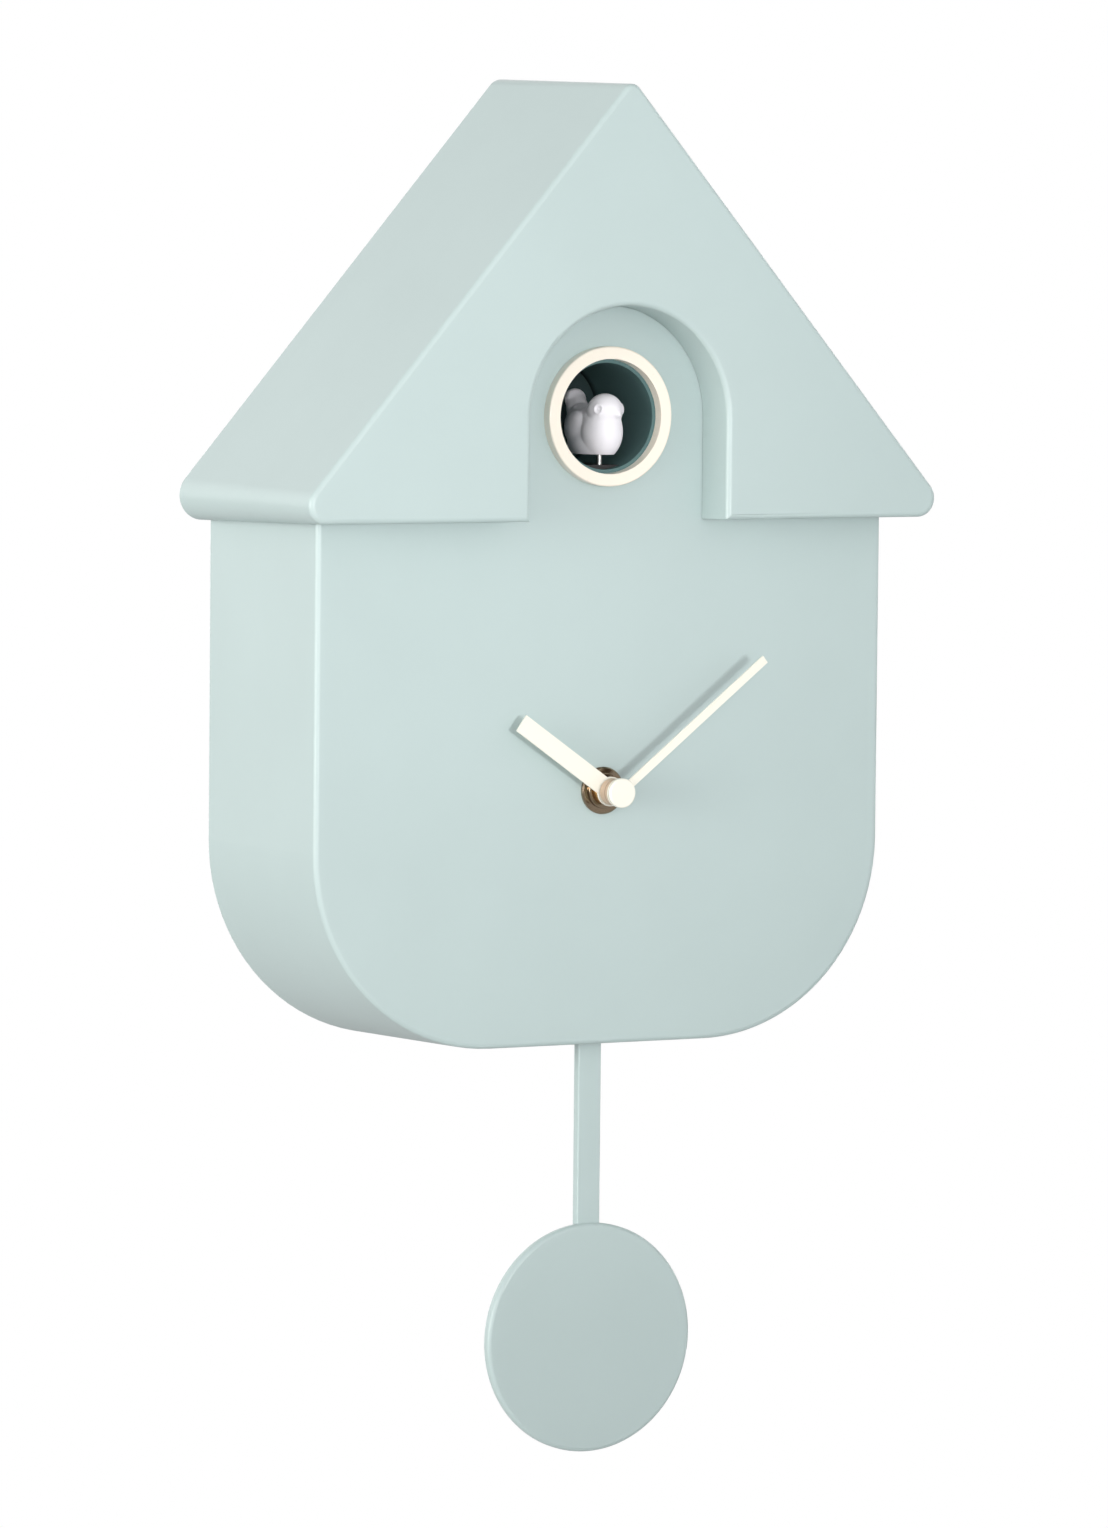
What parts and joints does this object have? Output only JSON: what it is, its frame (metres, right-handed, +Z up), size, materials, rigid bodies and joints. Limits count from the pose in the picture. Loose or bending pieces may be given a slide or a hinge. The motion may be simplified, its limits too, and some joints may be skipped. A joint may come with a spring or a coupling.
{
  "type": "cuckoo clock",
  "caption": "House-shaped wall cuckoo clock with an arched recess, a bird in a ring on a rack slide, bar hands and a swinging disc pendulum.",
  "frame": {"origin": "centre of the round head hole of the keyhole in the hanger plate, seen from the wall side; the wall plane is Y = 0", "axes": "+Z up, the dial faces -Y, +X to the right of a person facing the dial"},
  "size_m": [0.2104, 0.08, 0.401],
  "materials": {
    "mint_shell": "satin moulded plastic, pale mint",
    "cover_plastic": "fine textured moulded plastic, pale mint",
    "cream_ring": "semi-gloss moulded plastic, warm white",
    "tunnel_plastic": "dark teal grey moulded plastic",
    "bird_white": "matte white moulded plastic",
    "white_lacquer": "white lacquered aluminium",
    "black_plastic": "black moulded plastic",
    "white_plastic": "natural acetal",
    "steel": "zinc plated steel",
    "nickel": "nickel plated brass",
    "brass": "turned brass",
    "copper": "enamelled copper wire",
    "ferrite": "sintered magnet",
    "circuit_board": "green solder mask",
    "components": "moulded electronic parts",
    "paper_cone": "pressed black paper",
    "battery_wrap": "plain wrapped cell"
  },
  "bodies": {
    "case": {"battery_cells": "battery_wrap", "battery_contacts": "steel", "battery_tray": "black_plastic", "board_components": "components", "board_screws": "steel", "body_shell": "mint_shell", "coil_bobbin": "white_plastic", "cover_screws": "steel", "cuckoo_motor": "steel", "cuckoo_ring": "cream_ring", "cuckoo_tunnel": "tunnel_plastic", "drive_axle": "steel", "drive_coil": "copper", "hanger_plate": "steel", "hanger_screws": "steel", "motor_bracket": "black_plastic", "motor_bracket_screws": "steel", "movement_bush": "brass", "movement_front_case": "black_plastic", "movement_nut": "nickel", "movement_plate": "white_plastic", "movement_rear_case": "black_plastic", "pendulum_bracket": "black_plastic", "pendulum_bracket_screws": "steel", "pivot_pin": "steel", "rear_cover": "cover_plastic", "roof_screws": "steel", "roof_shell": "mint_shell", "sound_board": "circuit_board", "speaker_cone": "paper_cone", "speaker_frame": "steel", "speaker_magnet": "ferrite", "stepper_coil": "copper", "stepper_stator": "steel", "test_switch": "black_plastic", "tunnel_screws": "steel", "volume_switch": "black_plastic"},
    "bird": {"cuckoo_bird": "bird_white", "bird_pin": "steel", "bird_carriage": "black_plastic"},
    "drive_wheel": {"drive_wheel": "white_plastic"},
    "motor_shaft": {"motor_pinion": "white_plastic"},
    "hour": {"hour_hand": "white_lacquer", "hour_wheel": "white_plastic"},
    "minute": {"minute_hand": "white_lacquer", "minute_cap": "white_lacquer", "minute_arbor": "steel"},
    "setting": {"motion_wheel": "white_plastic", "setting_knob": "black_plastic"},
    "rotor": {"stepper_rotor": "ferrite"},
    "train": {"train_wheel": "white_plastic"},
    "pendulum": {"pendulum_hanger": "white_plastic", "pendulum_magnet": "ferrite", "pendulum_rod": "mint_shell", "pendulum_bob": "mint_shell"},
    "door": {"battery_door": "cover_plastic"},
    "slider": {"volume_slider": "black_plastic"},
    "button": {"test_button": "black_plastic"}
  },
  "joints": [
    {"name": "minute_spin", "type": "hinge", "parent": "case", "child": "minute", "pos_m": [0, -0.07, -0.164], "axis": [0, 1, 0], "continuous": true},
    {"name": "hour_spin", "type": "hinge", "parent": "case", "child": "hour", "pos_m": [0, -0.07, -0.164], "axis": [0, 1, 0], "continuous": true},
    {"name": "setting_spin", "type": "hinge", "parent": "case", "child": "setting", "pos_m": [0, -0.03, -0.152], "axis": [0, 1, 0], "continuous": true},
    {"name": "train_spin", "type": "hinge", "parent": "case", "child": "train", "pos_m": [-0.0045, -0.052, -0.171], "axis": [0, 1, 0], "continuous": true},
    {"name": "rotor_spin", "type": "hinge", "parent": "case", "child": "rotor", "pos_m": [-0.015, -0.052, -0.171], "axis": [0, 1, 0], "continuous": true},
    {"name": "pendulum_swing", "type": "hinge", "parent": "case", "child": "pendulum", "pos_m": [0, -0.058, -0.197], "axis": [0, 1, 0], "range_deg": [-8, 8]},
    {"name": "bird_slide", "type": "slide", "parent": "case", "child": "bird", "axis": [0, -1, 0], "range_m": [0, 0.012]},
    {"name": "drive_wheel_spin", "type": "hinge", "parent": "case", "child": "drive_wheel", "pos_m": [0, -0.047, -0.0818], "axis": [1, 0, 0], "range_deg": [0, 144]},
    {"name": "motor_spin", "type": "hinge", "parent": "case", "child": "motor_shaft", "pos_m": [0, -0.037, -0.0818], "axis": [1, 0, 0], "range_deg": [-432, 0]},
    {"name": "door_swing", "type": "hinge", "parent": "case", "child": "door", "pos_m": [0, -0.0025, -0.2294], "axis": [-1, 0, 0], "range_deg": [0, 75]},
    {"name": "volume_slide", "type": "slide", "parent": "case", "child": "slider", "axis": [1, 0, 0], "range_m": [0, 0.005]},
    {"name": "button_press", "type": "slide", "parent": "case", "child": "button", "axis": [0, -1, 0], "range_m": [0, 0.0008], "stiffness_N_per_m": 300}
  ],
  "couplings": [
    {"joint": "hour_spin", "follows": "minute_spin", "ratio": 0.083333},
    {"joint": "setting_spin", "follows": "minute_spin", "ratio": -0.33333},
    {"joint": "rotor_spin", "follows": "train_spin", "ratio": -6},
    {"joint": "drive_wheel_spin", "follows": "bird_slide", "rad_per_m": 208.33},
    {"joint": "motor_spin", "follows": "bird_slide", "rad_per_m": -625}
  ]
}
